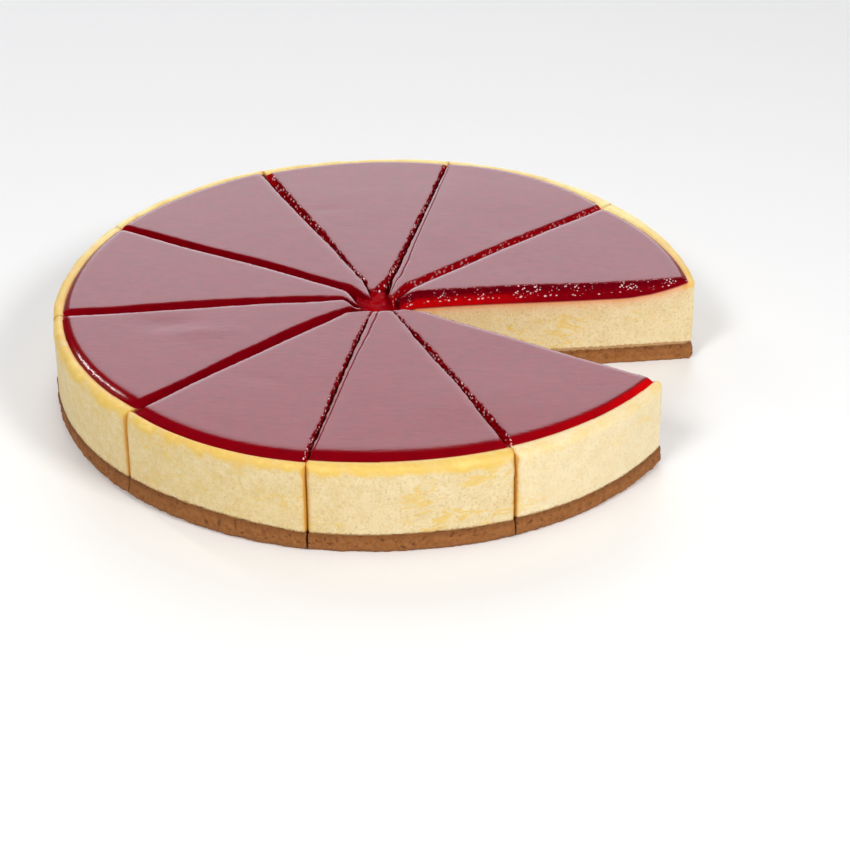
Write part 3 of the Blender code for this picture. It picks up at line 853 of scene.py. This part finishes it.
def build_pool(material):
    """A low wet puddle that runs under the blunt tips of the slices around it."""
    turn = np.linspace(0, math.tau, POOL_TURNS, endpoint=False)
    ring = np.linspace(0, 1, POOL_RINGS + 1)[1:]
    turns, outs = np.meshgrid(turn, ring, indexing="ij")
    outline = 1.0 + 0.10 * np.sin(3 * turns + 0.6) + 0.06 * np.sin(5 * turns + 2.0)
    x = POOL_CENTRE[0] + POOL_HALF_SIZES[0] * outline * outs * np.cos(turns)
    y = POOL_CENTRE[1] + POOL_HALF_SIZES[1] * outline * outs * np.sin(turns)
    flat = np.stack([x.ravel(), y.ravel(), np.zeros(x.size)], 1)
    lumps = relief(POOL_LUMP, flat, 71, 3).reshape(x.shape)
    to_wedge = ease(x, CUTS_MEET[0] + 1.0 * MM, CUTS_MEET[0] + 6.0 * MM) * ease(y, -11.5 * MM, -9.0 * MM)
    high = POOL_HEIGHT + lumps - POOL_EDGE_DROP * outs**4 - POOL_OPEN_DROP * to_wedge
    top = np.stack([x, y, high], -1).reshape(-1, 3)
    bottom = np.stack([x[:, -1], y[:, -1], np.full(POOL_TURNS, POOL_FOOT)], 1)
    points = np.concatenate([top, bottom, [[*POOL_CENTRE, POOL_HEIGHT]]])
    grid = np.arange(POOL_TURNS * POOL_RINGS).reshape(POOL_TURNS, POOL_RINGS)
    ahead = np.roll(grid, -1, axis=0)
    corners = [grid[:, :-1], grid[:, 1:], ahead[:, 1:], ahead[:, :-1]]
    quads = np.stack([corner.ravel() for corner in corners], 1)
    foot = len(top) + np.arange(POOL_TURNS)
    skirt = np.stack([grid[:, -1], foot, np.roll(foot, -1), ahead[:, -1]], 1)
    centre = len(points) - 1
    caps = [np.array([centre, grid[t, 0], ahead[t, 0]]) for t in range(POOL_TURNS)]
    caps.append(foot[::-1])
    attributes = {
        "torn": np.zeros(len(points)),
        "level": np.full(len(points), POOL_LEVEL),
        "gloss": np.full(len(points), DULL),
        # Painted light: a brighter red painted across the puddle's middle.
        "glow": 0.04 + worn(points[:, 0] - POOL_PAINTED_GLOW_AT, 0.24, POOL_PAINTED_GLOW_SPREAD),
        "wet": np.zeros(len(points)),
    }
    names = ("pool", "raspberry_jelly", "centre_jelly")
    add_piece(*names, points, np.concatenate([quads, skirt]), caps, material, attributes)


# Small helpers for shader nodes. Sizes are in metres.

def new_material(name):
    material = bpy.data.materials.new(name)
    material.use_nodes = True
    tree = material.node_tree
    tree.nodes.clear()
    shader = tree.nodes.new("ShaderNodeBsdfPrincipled")
    output = tree.nodes.new("ShaderNodeOutputMaterial")
    tree.links.new(shader.outputs["BSDF"], output.inputs["Surface"])
    return material, tree, shader


def put(tree, socket, value):
    """Set a socket to a number or colour, or link it to another node's output."""
    if isinstance(value, bpy.types.NodeSocket):
        tree.links.new(value, socket)
    else:
        socket.default_value = value


def feed(tree, node, values):
    """Set or link several of a node's inputs, by their names."""
    for name, value in values.items():
        put(tree, node.inputs[name], value)


def attribute(tree, name):
    node = tree.nodes.new("ShaderNodeAttribute")
    node.attribute_name = name
    return node.outputs["Fac"]


def position(tree, stretch=(1, 1, 1)):
    coordinate = tree.nodes.new("ShaderNodeTexCoord")
    mapping = tree.nodes.new("ShaderNodeMapping")
    tree.links.new(coordinate.outputs["Object"], mapping.inputs["Vector"])
    mapping.inputs["Scale"].default_value = stretch
    return mapping.outputs["Vector"]


def noise(tree, size, detail=3.0, rough=0.55, vector=None, distortion=0.0):
    """Fractal noise from 0 to 1 whose lumps are about size across."""
    node = tree.nodes.new("ShaderNodeTexNoise")
    feed(tree, node, {"Vector": vector or position(tree), "Scale": 1.0 / size})
    feed(tree, node, {"Detail": detail, "Roughness": rough, "Distortion": distortion})
    return node.outputs["Fac"]


def cells(tree, size):
    """Distance to the nearest of many scattered points that lie about size apart."""
    node = tree.nodes.new("ShaderNodeTexVoronoi")
    feed(tree, node, {"Vector": position(tree), "Scale": 1.0 / size})
    return node.outputs["Distance"]


def remap(tree, value, low, high, to_low=0.0, to_high=1.0):
    node = tree.nodes.new("ShaderNodeMapRange")
    node.interpolation_type = "SMOOTHSTEP"
    feed(tree, node, {"Value": value, "From Min": low, "From Max": high})
    feed(tree, node, {"To Min": to_low, "To Max": to_high})
    return node.outputs["Result"]


def smooth_band(tree, value, outer_low, inner_low, inner_high, outer_high):
    return times(tree, remap(tree, value, outer_low, inner_low), remap(tree, value, outer_high, inner_high))


def math_node(tree, operation, first, second=0.0):
    node = tree.nodes.new("ShaderNodeMath")
    node.operation = operation
    put(tree, node.inputs[0], first)
    put(tree, node.inputs[1], second)
    return node.outputs[0]


def times(tree, first, second):
    return math_node(tree, "MULTIPLY", first, second)


def plus(tree, first, second):
    return math_node(tree, "ADD", first, second)


def mix(tree, share, first, second):
    node = tree.nodes.new("ShaderNodeMix")
    node.data_type = "RGBA"
    put(tree, node.inputs["Factor"], share)
    for socket, colour in ((node.inputs["A"], first), (node.inputs["B"], second)):
        put(tree, socket, (*colour, 1.0) if isinstance(colour, tuple) else colour)
    return node.outputs["Result"]


def bump(tree, height, distance, strength, normal=None):
    node = tree.nodes.new("ShaderNodeBump")
    feed(tree, node, {"Distance": distance, "Strength": strength, "Height": height})
    if normal is not None:
        tree.links.new(normal, node.inputs["Normal"])
    return node.outputs["Normal"]


# Materials.

def jelly_painted_sparkles(tree, torn):
    """Painted sparkles on torn jelly, highlights painted as pale specks that also raise the shine: small
    ones in clusters on the open face, larger ones elsewhere.
    """
    clusters = remap(tree, noise(tree, 8.5 * MM, 3.0, 0.6), 0.495, 0.57)
    clusters = times(tree, clusters, remap(tree, attribute(tree, "level"), 0.40, 0.60))
    small = times(tree, remap(tree, cells(tree, 1.0 * MM), 0.38, 0.22), clusters)
    small = times(tree, small, remap(tree, torn, 0.6, 0.9))
    large = times(tree, remap(tree, cells(tree, 1.6 * MM), 0.36, 0.24), remap(tree, torn, 0.2, 0.45))
    large = times(tree, large, remap(tree, torn, 0.9, 0.6))
    return plus(tree, small, large)


def jelly_material():
    material, tree, shader = new_material("raspberry_jelly")
    deep = (0.225, 0.0006, 0.0045)
    # The brighter red is painted light, and also the red of thin jelly.
    bright = (0.62, 0.002, 0.003)
    dark = (0.105, 0.0006, 0.006)
    # The pale colour of the painted sparkle highlights.
    painted_sparkle_colour = (0.92, 0.62, 0.66)
    # Painted light: the jelly is painted a brighter red on the lit edge, the open face, torn cuts and
    # puddle, and where it is thin.
    colour = mix(tree, attribute(tree, "glow"), deep, bright)
    mottle = remap(tree, noise(tree, 4.5 * MM, 4.0), 0.35, 0.7)
    colour = mix(tree, times(tree, mottle, 0.25), colour, dark)
    torn = attribute(tree, "torn")
    torn_high = times(tree, torn, remap(tree, attribute(tree, "level"), 0.4, 0.85))
    colour = mix(tree, times(tree, torn_high, 0.6), colour, dark)
    painted_sparkles = jelly_painted_sparkles(tree, torn)
    # Painted highlights: pale sparkles painted on the torn jelly.
    colour = mix(tree, painted_sparkles, colour, painted_sparkle_colour)

    satin = remap(tree, noise(tree, 10.0 * MM), 0.3, 0.7, 0.15, 0.20)
    wetter = math_node(tree, "MAXIMUM", torn, attribute(tree, "wet"))
    wetness = remap(tree, wetter, 0.0, 1.0, 0.0, -0.11)
    shine = plus(tree, times(tree, attribute(tree, "gloss"), 0.5), times(tree, painted_sparkles, 0.5))
    wiped = noise(tree, 1.1 * MM, 2.0, 0.5, position(tree, (0.22, 1.0, 1.0)))
    bubbles = remap(tree, cells(tree, 6.5 * MM), 0.0, 0.09, 1.0, 0.0)
    normal = bump(tree, bubbles, 0.10 * MM, 0.6, bump(tree, wiped, 0.13 * MM, 0.5))
    shader.inputs["IOR"].default_value = 1.45
    feed(tree, shader, {
        "Base Color": colour, "Roughness": plus(tree, satin, wetness), "Specular IOR Level": shine,
        "Subsurface Weight": 0.15, "Subsurface Radius": (1.0, 0.04, 0.03),
        "Subsurface Scale": 1.5 * MM, "Normal": normal,
    })
    return material


def cream_material():
    material, tree, shader = new_material("baked_cream")
    pale = (0.82, 0.685, 0.42)
    warm = (0.77, 0.61, 0.33)
    shade = (0.62, 0.45, 0.19)
    yellow = (0.80, 0.545, 0.115)
    golden = (0.92, 0.72, 0.24)
    # The golden brown of the painted shade in the grooves.
    painted_groove_shade = (0.66, 0.33, 0.035)
    palest = (0.95, 0.83, 0.57)
    # The paler gold painted on the back rim as light.
    painted_light_gold = (1.0, 0.84, 0.36)
    crumb_brown = (0.42, 0.20, 0.06)
    toasted = (0.72, 0.53, 0.17)
    stained = (0.80, 0.22, 0.07)
    # A bright salmon: the jelly's bleed, painted lighter as light in the notch.
    fringe_painted_light_colour = (0.95, 0.40, 0.19)
    jellied = (0.24, 0.002, 0.004)

    # The cream itself, grained and streaked, and toasted on the left.
    mottle = remap(tree, noise(tree, 6.0 * MM, 4.0, 0.6), 0.35, 0.7)
    colour = mix(tree, mottle, pale, warm)
    grain = remap(tree, noise(tree, 1.0 * MM, 3.0, 0.65), 0.48, 0.72)
    colour = mix(tree, times(tree, grain, 0.72), colour, shade)
    streak_field = noise(tree, 8.5 * MM, 3.0, 0.6, position(tree, (0.55, 0.55, 1.5)), 0.8)
    streaks = smooth_band(tree, streak_field, 0.52, 0.57, 0.58, 0.64)
    patchy = remap(tree, noise(tree, 21.0 * MM, 2.0), 0.45, 0.62)
    streaks = times(tree, streaks, times(tree, patchy, 0.75))
    colour = mix(tree, streaks, colour, yellow)
    left = attribute(tree, "toasted")
    patches = remap(tree, noise(tree, 3.0 * MM, 5.0, 0.7), 0.32, 0.70, 0.15, 0.70)
    colour = mix(tree, times(tree, left, patches), colour, toasted)

    # The browning of the rim, with an uneven lower edge, and painted light that makes the back rim a paler
    # gold.
    uneven = plus(tree, times(tree, left, 0.9), 2.0)
    shift = math_node(tree, "SUBTRACT", noise(tree, 7.5 * MM, 5.0, 0.65), 0.5)
    browning = plus(tree, attribute(tree, "baked"), times(tree, shift, uneven))
    baked = remap(tree, browning, 0.25, 1.05)
    colour = mix(tree, baked, colour, yellow)
    crest = remap(tree, browning, 0.95, 1.5)
    colour = mix(tree, times(tree, crest, 0.6), colour, golden)
    colour = mix(tree, times(tree, attribute(tree, "pale"), 0.3), colour, palest)
    # Painted light: the back rim is painted a paler gold, as if lit more.
    painted_back_light = remap(tree, noise(tree, 12.0 * MM), 0.3, 0.6, 0.55, 1.0)
    painted_back_light = times(tree, attribute(tree, "far"), painted_back_light)
    colour = mix(tree, times(tree, painted_back_light, baked), colour, painted_light_gold)

    # What the jelly and the crust left on it, with painted light on the fringe and painted shade in the
    # grooves.
    colour = mix(tree, attribute(tree, "stain"), colour, stained)
    bleed_and_painted_light = remap(tree, noise(tree, 1.6 * MM, 3.0, 0.6), 0.35, 0.65, 0.15, 0.8)
    # The jelly's salmon bleed beside the glaze, painted brighter as light against the notch's shade.
    colour = mix(tree, times(tree, attribute(tree, "fringe"), bleed_and_painted_light), colour, fringe_painted_light_colour)
    # Painted shade: a golden brown darkening in the grooves where the cuts reach the wall.
    colour = mix(tree, times(tree, attribute(tree, "groove"), 0.9), colour, painted_groove_shade)
    colour = mix(tree, attribute(tree, "soaked"), colour, jellied)
    dusted = plus(tree, attribute(tree, "foot"), noise(tree, 1.2 * MM, 3.0, 0.7))
    dusted = times(tree, remap(tree, dusted, 0.90, 1.20), 0.85)
    colour = mix(tree, dusted, colour, crumb_brown)

    pores = remap(tree, cells(tree, 1.2 * MM), 0.0, 0.35)
    normal = bump(tree, pores, 0.18 * MM, 0.7)
    normal = bump(tree, noise(tree, 2.2 * MM, 5.0, 0.65), 0.35 * MM, 0.5, normal)
    feed(tree, shader, {
        "Base Color": colour, "Roughness": 0.5, "Subsurface Weight": 0.3,
        "Subsurface Radius": (1.0, 0.7, 0.35), "Subsurface Scale": 1.8 * MM, "Normal": normal,
    })
    return material


def crumb_material():
    material, tree, shader = new_material("biscuit_crumb")
    brown = (0.265, 0.092, 0.021)
    light = (0.37, 0.150, 0.042)
    dark = (0.11, 0.032, 0.007)
    grain = remap(tree, noise(tree, 1.6 * MM, 4.0, 0.65), 0.35, 0.68)
    colour = mix(tree, grain, brown, light)
    bits = remap(tree, noise(tree, 2.1 * MM, 3.0, 0.6), 0.56, 0.66)
    colour = mix(tree, times(tree, bits, 0.8), colour, dark)
    broad = remap(tree, noise(tree, 11.0 * MM, 2.0), 0.4, 0.65)
    colour = mix(tree, times(tree, broad, 0.3), colour, brown)
    level = plus(tree, attribute(tree, "level"), times(tree, grain, 0.15))
    colour = mix(tree, remap(tree, level, 0.70, 1.05, 0.0, 0.45), colour, dark)
    colour = mix(tree, remap(tree, level, 0.50, 0.05, 0.0, 0.45), colour, light)
    normal = bump(tree, noise(tree, 1.1 * MM, 4.0, 0.7), 0.4 * MM, 0.8)
    shader.inputs["Specular IOR Level"].default_value = 0.3
    feed(tree, shader, {"Base Color": colour, "Roughness": 0.8, "Normal": normal})
    return material


def floor_material():
    material, tree, shader = new_material("pale_floor")
    tone = remap(tree, noise(tree, 0.9, 2.0), 0.3, 0.7)
    colour = mix(tree, tone, (0.90, 0.90, 0.90), (0.92, 0.92, 0.92))
    feed(tree, shader, {"Base Color": colour, "Roughness": 0.6})
    return material


# Stage, lights and camera. Distances and light sizes are in metres, powers in watts.

PHOTO_SIZE = 850.0
TOP_CENTRE_PIXEL = (380.1, 295.5)
FOCAL_PIXELS = 2416.0
SENSOR = 36.0
CAMERA_DISTANCE = 0.900
CAMERA_ELEVATION = math.radians(28.36)
CAMERA_ROLL = math.radians(-0.35)
CAMERA_CLIP = (0.01, 50.0)
AIM_HEIGHT = RIM_HEIGHT - 0.3 * MM
FLOOR_HALF = 8.0
FLOOR_DROP = 0.2 * MM
# Each soft light's name, azimuth counter-clockwise from +X and elevation, distance, width,
# height, power and colour.
LIGHTS = (
    ("key", -45, 40, 1.4, 0.36, 0.36, 9.9, (1.0, 0.985, 0.96)),
    ("fill", -122, 46, 1.4, 0.36, 0.36, 7.5, (1.0, 0.99, 0.98)),
    ("strip", 136, 37, 1.2, 0.05, 0.42, 1.4, (1.0, 1.0, 1.0)),
)
SKY_STRENGTH = 0.28
SKY_COLOUR = (1.0, 0.99, 0.97)
PANEL_STRENGTH = 2.5
PANEL_COLOUR = (0.93, 0.96, 1.05)
# The bright panel behind the cake: where it fades out to the sides and in height, in degrees.
PANEL_SIDES = (21, 16)
PANEL_ELEVATIONS = (-2, 0, 44, 49)


def add_camera():
    """The photograph's view: the middle of the glaze falls on its pixel in the frame."""
    data = bpy.data.cameras.new("camera")
    data.sensor_width = SENSOR
    data.lens = FOCAL_PIXELS * SENSOR / PHOTO_SIZE
    data.clip_start, data.clip_end = CAMERA_CLIP
    camera = add_object("camera", data)
    back = Vector((0.0, -math.cos(CAMERA_ELEVATION), math.sin(CAMERA_ELEVATION)))
    right = Vector((1.0, 0.0, 0.0))
    up = back.cross(right)
    offset_x, offset_y = ((PHOTO_SIZE / 2 - pixel) / FOCAL_PIXELS for pixel in TOP_CENTRE_PIXEL)
    look = (-back + right * offset_x - up * offset_y).normalized()
    camera.location = Vector((0.0, 0.0, AIM_HEIGHT)) + CAMERA_DISTANCE * back
    camera.rotation_euler = look.to_track_quat("-Z", "Y").to_euler()
    camera.rotation_euler.rotate_axis("Z", CAMERA_ROLL)
    bpy.context.scene.camera = camera


def area_light(name, azimuth, elevation, distance, width, height, power, colour):
    """A soft light that faces the cake and isn't seen itself."""
    data = bpy.data.lights.new(name, "AREA")
    data.shape = "RECTANGLE"
    data.size = width
    data.size_y = height
    data.energy = power
    data.color = colour
    light = add_object(name, data)
    a, e = math.radians(azimuth), math.radians(elevation)
    away = Vector((math.cos(a) * math.cos(e), math.sin(a) * math.cos(e), math.sin(e)))
    light.location = away * distance
    light.rotation_euler = away.to_track_quat("Z", "Y").to_euler()
    light.visible_camera = False


def add_world():
    """A dim studio with one tall bright panel behind the cake, which the flat jelly mirrors."""
    world = bpy.data.worlds.new("studio")
    world.use_nodes = True
    bpy.context.scene.world = world
    tree = world.node_tree
    tree.nodes.clear()
    output = tree.nodes.new("ShaderNodeOutputWorld")
    coordinate = tree.nodes.new("ShaderNodeTexCoord")
    split = tree.nodes.new("ShaderNodeSeparateXYZ")
    tree.links.new(coordinate.outputs["Generated"], split.inputs["Vector"])
    y, z = split.outputs["Y"], split.outputs["Z"]
    # How level a direction is, kept just above zero for straight up, and how far it points back.
    level = math_node(tree, "SQRT", math_node(tree, "SUBTRACT", 1.0001, times(tree, z, z)))
    behind = math_node(tree, "DIVIDE", y, level)
    sides = remap(tree, behind, *(math.cos(math.radians(angle)) for angle in PANEL_SIDES))
    heights = smooth_band(tree, z, *(math.sin(math.radians(angle)) for angle in PANEL_ELEVATIONS))
    panel = times(tree, sides, heights)
    lit = plus(tree, times(tree, panel, PANEL_STRENGTH), SKY_STRENGTH)
    background = tree.nodes.new("ShaderNodeBackground")
    colour = mix(tree, panel, SKY_COLOUR, PANEL_COLOUR)
    feed(tree, background, {"Color": colour, "Strength": lit})
    tree.links.new(background.outputs[0], output.inputs["Surface"])


def add_stage():
    corners = [(x * FLOOR_HALF, y * FLOOR_HALF, 0) for x, y in ((-1, -1), (1, -1), (1, 1), (-1, 1))]
    mesh = bpy.data.meshes.new("floor")
    mesh.from_pydata(corners, [], [(0, 1, 2, 3)])
    mesh.materials.append(floor_material())
    floor = add_object("floor", mesh)
    floor.location.z = -FLOOR_DROP
    add_world()
    for light in LIGHTS:
        area_light(*light)
    add_camera()
    bpy.context.scene.view_settings.view_transform = "Standard"


jelly = jelly_material()
cream = cream_material()
crumb = crumb_material()
for slice_number in SLICES:
    build_glaze(slice_number, jelly)
    build_filling(slice_number, cream)
    build_crust(slice_number, crumb)
build_pool(jelly)
add_stage()

bpy.context.view_layer.update()
